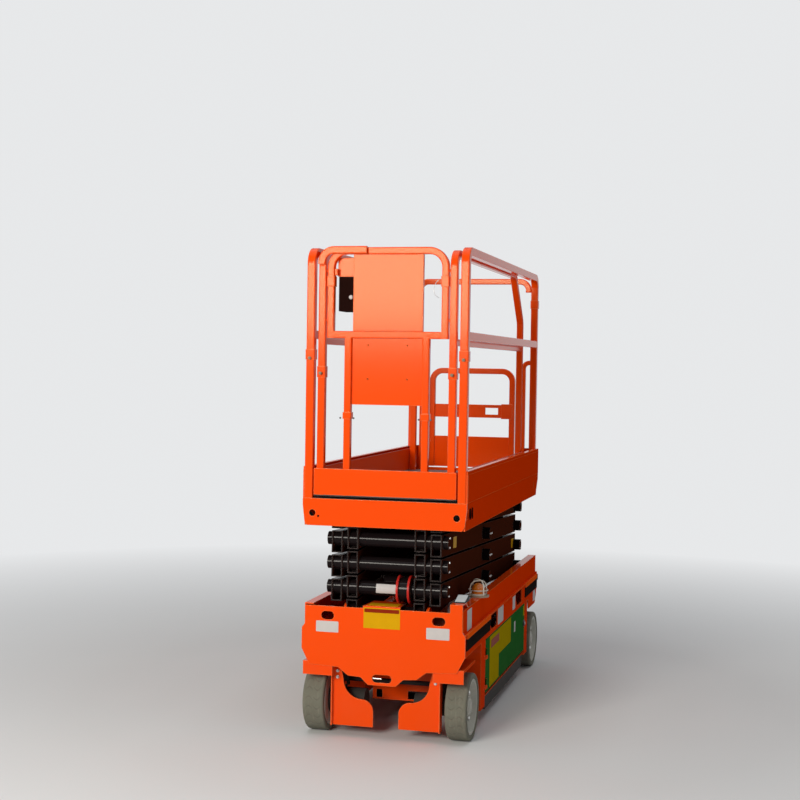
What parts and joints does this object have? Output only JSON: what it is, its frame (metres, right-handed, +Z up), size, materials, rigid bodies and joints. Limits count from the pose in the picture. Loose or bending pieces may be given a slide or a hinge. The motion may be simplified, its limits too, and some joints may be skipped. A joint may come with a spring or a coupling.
{
  "type": "self-propelled scissor lift",
  "caption": "Narrow self-propelled scissor lift: stacked arms raise a railed platform with a roll-out deck and rear gate on a wheeled chassis.",
  "frame": {"origin": "on the floor under the middle of the machine's outer box", "axes": "+Z up, the steered front end faces -Y, +X is the machine's left as its driver faces forward"},
  "size_m": [0.784, 2.094, 2.23],
  "materials": {
    "tyre": "warm grey solid rubber",
    "wheel_disc": "light grey paint",
    "orange_paint": "glossy orange paint",
    "black_paint": "satin black paint",
    "dark_steel": "dark machined castings",
    "rubber": "black rubber",
    "deck_steel": "raised tread plate",
    "grey_paint": "dark grey paint",
    "green_door": "green paint",
    "block": "dark moulded cases",
    "amber": "amber lens",
    "control": "dark moulded box",
    "plated": "zinc-plated steel",
    "chrome_rod": "hard chrome"
  },
  "bodies": {
    "chassis": {"front_plate": "orange_paint", "rear_plate": "orange_paint", "chassis_pan": "orange_paint", "chassis_beams": "grey_paint", "side_channel_right": "orange_paint", "side_channel_left": "orange_paint", "side_frame_right": "orange_paint", "side_frame_left": "orange_paint", "tray_blocks": "block", "ladder": "orange_paint", "buffers": "rubber", "beacon_mount": "plated", "beacon_lens": "amber"},
    "steer_left": {"knuckle_left": "dark_steel", "motor_guard_left": "orange_paint"},
    "steer_right": {"knuckle_right": "dark_steel", "motor_guard_right": "orange_paint"},
    "tie_rod": {"tie_rod": "dark_steel"},
    "wheel_front_left": {"tyre_front_left": "tyre", "rim_front_left": "wheel_disc"},
    "wheel_front_right": {"tyre_front_right": "tyre", "rim_front_right": "wheel_disc"},
    "wheel_rear_left": {"tyre_rear_left": "tyre", "rim_rear_left": "wheel_disc"},
    "wheel_rear_right": {"tyre_rear_right": "tyre", "rim_rear_right": "wheel_disc"},
    "door_left": {"tray_door_left": "green_door"},
    "door_right": {"tray_door_right": "green_door"},
    "pothole_left": {"pothole_guard_left": "grey_paint"},
    "pothole_right": {"pothole_guard_right": "grey_paint"},
    "inner_1": {"inner_arm_1": "black_paint"},
    "outer_1": {"outer_arm_1": "black_paint"},
    "inner_2": {"inner_arm_2": "black_paint"},
    "outer_2": {"outer_arm_2": "black_paint"},
    "inner_3": {"inner_arm_3": "black_paint"},
    "outer_3": {"outer_arm_3": "black_paint"},
    "inner_4": {"inner_arm_4": "black_paint"},
    "outer_4": {"outer_arm_4": "black_paint"},
    "platform": {"deck": "deck_steel", "side_sill_right": "orange_paint", "side_sill_left": "orange_paint", "front_sill": "orange_paint", "rear_sill": "orange_paint", "main_rail_right": "orange_paint", "main_rail_left": "orange_paint", "rear_rail": "orange_paint", "lock_pins_main": "plated"},
    "ram_barrel": {"ram_barrel": "black_paint"},
    "ram_rod": {"ram_rod": "chrome_rod"},
    "extension": {"ext_deck": "deck_steel", "ext_toe_board": "orange_paint", "ext_rail_right": "orange_paint", "ext_rail_left": "orange_paint", "front_frame": "orange_paint", "upper_panel": "orange_paint", "lower_panel": "orange_paint", "control_box": "control", "control_shroud": "orange_paint", "lock_pins_ext": "plated"},
    "gate": {"gate": "orange_paint"}
  },
  "joints": [
    {"name": "lift", "type": "hinge", "parent": "chassis", "child": "inner_1", "pos_m": [0, -0.935, 0.575], "axis": [1, 0, 0], "range_deg": [0, 43.6]},
    {"name": "centre_1", "type": "hinge", "parent": "inner_1", "child": "outer_1", "pos_m": [0, -0.01, 0.63], "axis": [1, 0, 0], "range_deg": [-87.19, 0]},
    {"name": "front_1", "type": "hinge", "parent": "outer_1", "child": "inner_2", "pos_m": [0, -0.935, 0.685], "axis": [1, 0, 0], "range_deg": [0, 87.19]},
    {"name": "centre_2", "type": "hinge", "parent": "inner_2", "child": "outer_2", "pos_m": [0, -0.01, 0.74], "axis": [1, 0, 0], "range_deg": [-87.19, 0]},
    {"name": "front_2", "type": "hinge", "parent": "outer_2", "child": "inner_3", "pos_m": [0, -0.935, 0.795], "axis": [1, 0, 0], "range_deg": [0, 87.19]},
    {"name": "centre_3", "type": "hinge", "parent": "inner_3", "child": "outer_3", "pos_m": [0, -0.01, 0.85], "axis": [1, 0, 0], "range_deg": [-87.19, 0]},
    {"name": "front_3", "type": "hinge", "parent": "outer_3", "child": "inner_4", "pos_m": [0, -0.935, 0.905], "axis": [1, 0, 0], "range_deg": [0, 87.19]},
    {"name": "centre_4", "type": "hinge", "parent": "inner_4", "child": "outer_4", "pos_m": [0, -0.01, 0.96], "axis": [1, 0, 0], "range_deg": [-87.19, 0]},
    {"name": "platform_pivot", "type": "hinge", "parent": "outer_4", "child": "platform", "pos_m": [0, -0.935, 1.015], "axis": [1, 0, 0], "range_deg": [0, 43.6]},
    {"name": "ram_foot", "type": "hinge", "parent": "inner_2", "child": "ram_barrel", "pos_m": [0, -0.81122, 0.69236], "axis": [1, 0, 0], "range_deg": [0, 15.64]},
    {"name": "ram_stroke", "type": "slide", "parent": "ram_barrel", "child": "ram_rod", "axis": [0, 0.992, 0.1265], "range_m": [0, 1.13996]},
    {"name": "steer_left", "type": "hinge", "parent": "chassis", "child": "steer_left", "pos_m": [-0.24, -0.843, 0.2], "axis": [0, 0, 1], "range_deg": [-50, 50]},
    {"name": "steer_right", "type": "hinge", "parent": "chassis", "child": "steer_right", "pos_m": [0.24, -0.843, 0.2], "axis": [0, 0, 1], "range_deg": [-50, 50]},
    {"name": "tie_rod_slide", "type": "slide", "parent": "chassis", "child": "tie_rod", "axis": [1, 0, 0], "range_m": [-0.05363, 0.05363]},
    {"name": "spin_front_left", "type": "hinge", "parent": "steer_left", "child": "wheel_front_left", "pos_m": [-0.333, -0.843, 0.1525], "axis": [1, 0, 0], "continuous": true},
    {"name": "spin_front_right", "type": "hinge", "parent": "steer_right", "child": "wheel_front_right", "pos_m": [0.333, -0.843, 0.1525], "axis": [1, 0, 0], "continuous": true},
    {"name": "spin_rear_left", "type": "hinge", "parent": "chassis", "child": "wheel_rear_left", "pos_m": [-0.333, 0.8925, 0.1525], "axis": [1, 0, 0], "continuous": true},
    {"name": "spin_rear_right", "type": "hinge", "parent": "chassis", "child": "wheel_rear_right", "pos_m": [0.333, 0.8925, 0.1525], "axis": [1, 0, 0], "continuous": true},
    {"name": "door_left", "type": "hinge", "parent": "chassis", "child": "door_left", "pos_m": [-0.38, -0.505, 0.27], "axis": [0, 0, 1], "range_deg": [0, 100]},
    {"name": "door_right", "type": "hinge", "parent": "chassis", "child": "door_right", "pos_m": [0.38, -0.505, 0.27], "axis": [0, 0, 1], "range_deg": [-100, 0]},
    {"name": "pothole_left", "type": "slide", "parent": "chassis", "child": "pothole_left", "axis": [0, 0, -1], "range_m": [0, 0.03001]},
    {"name": "pothole_right", "type": "slide", "parent": "chassis", "child": "pothole_right", "axis": [0, 0, -1], "range_m": [0, 0.03001]},
    {"name": "extension", "type": "slide", "parent": "platform", "child": "extension", "axis": [0, -1, 0], "range_m": [0, 0.9]},
    {"name": "gate", "type": "hinge", "parent": "platform", "child": "gate", "pos_m": [-0.262, 0.915, 1.5], "axis": [0, 0, 1], "range_deg": [-90, 0]}
  ],
  "couplings": [
    {"joint": "centre_1", "follows": "lift", "ratio": -2},
    {"joint": "front_1", "follows": "lift", "ratio": 2},
    {"joint": "centre_2", "follows": "lift", "ratio": -2},
    {"joint": "front_2", "follows": "lift", "ratio": 2},
    {"joint": "centre_3", "follows": "lift", "ratio": -2},
    {"joint": "front_3", "follows": "lift", "ratio": 2},
    {"joint": "centre_4", "follows": "lift", "ratio": -2},
    {"joint": "platform_pivot", "follows": "lift", "ratio": 1},
    {"joint": "ram_foot", "follows": "lift", "ratio": 0.35862},
    {"joint": "ram_stroke", "follows": "lift", "m_per_rad": 1.498},
    {"joint": "steer_right", "follows": "steer_left", "ratio": 1},
    {"joint": "tie_rod_slide", "follows": "steer_left", "m_per_rad": -0.061448},
    {"joint": "pothole_left", "follows": "lift", "m_per_rad": 0.039426},
    {"joint": "pothole_right", "follows": "lift", "m_per_rad": 0.039426}
  ]
}
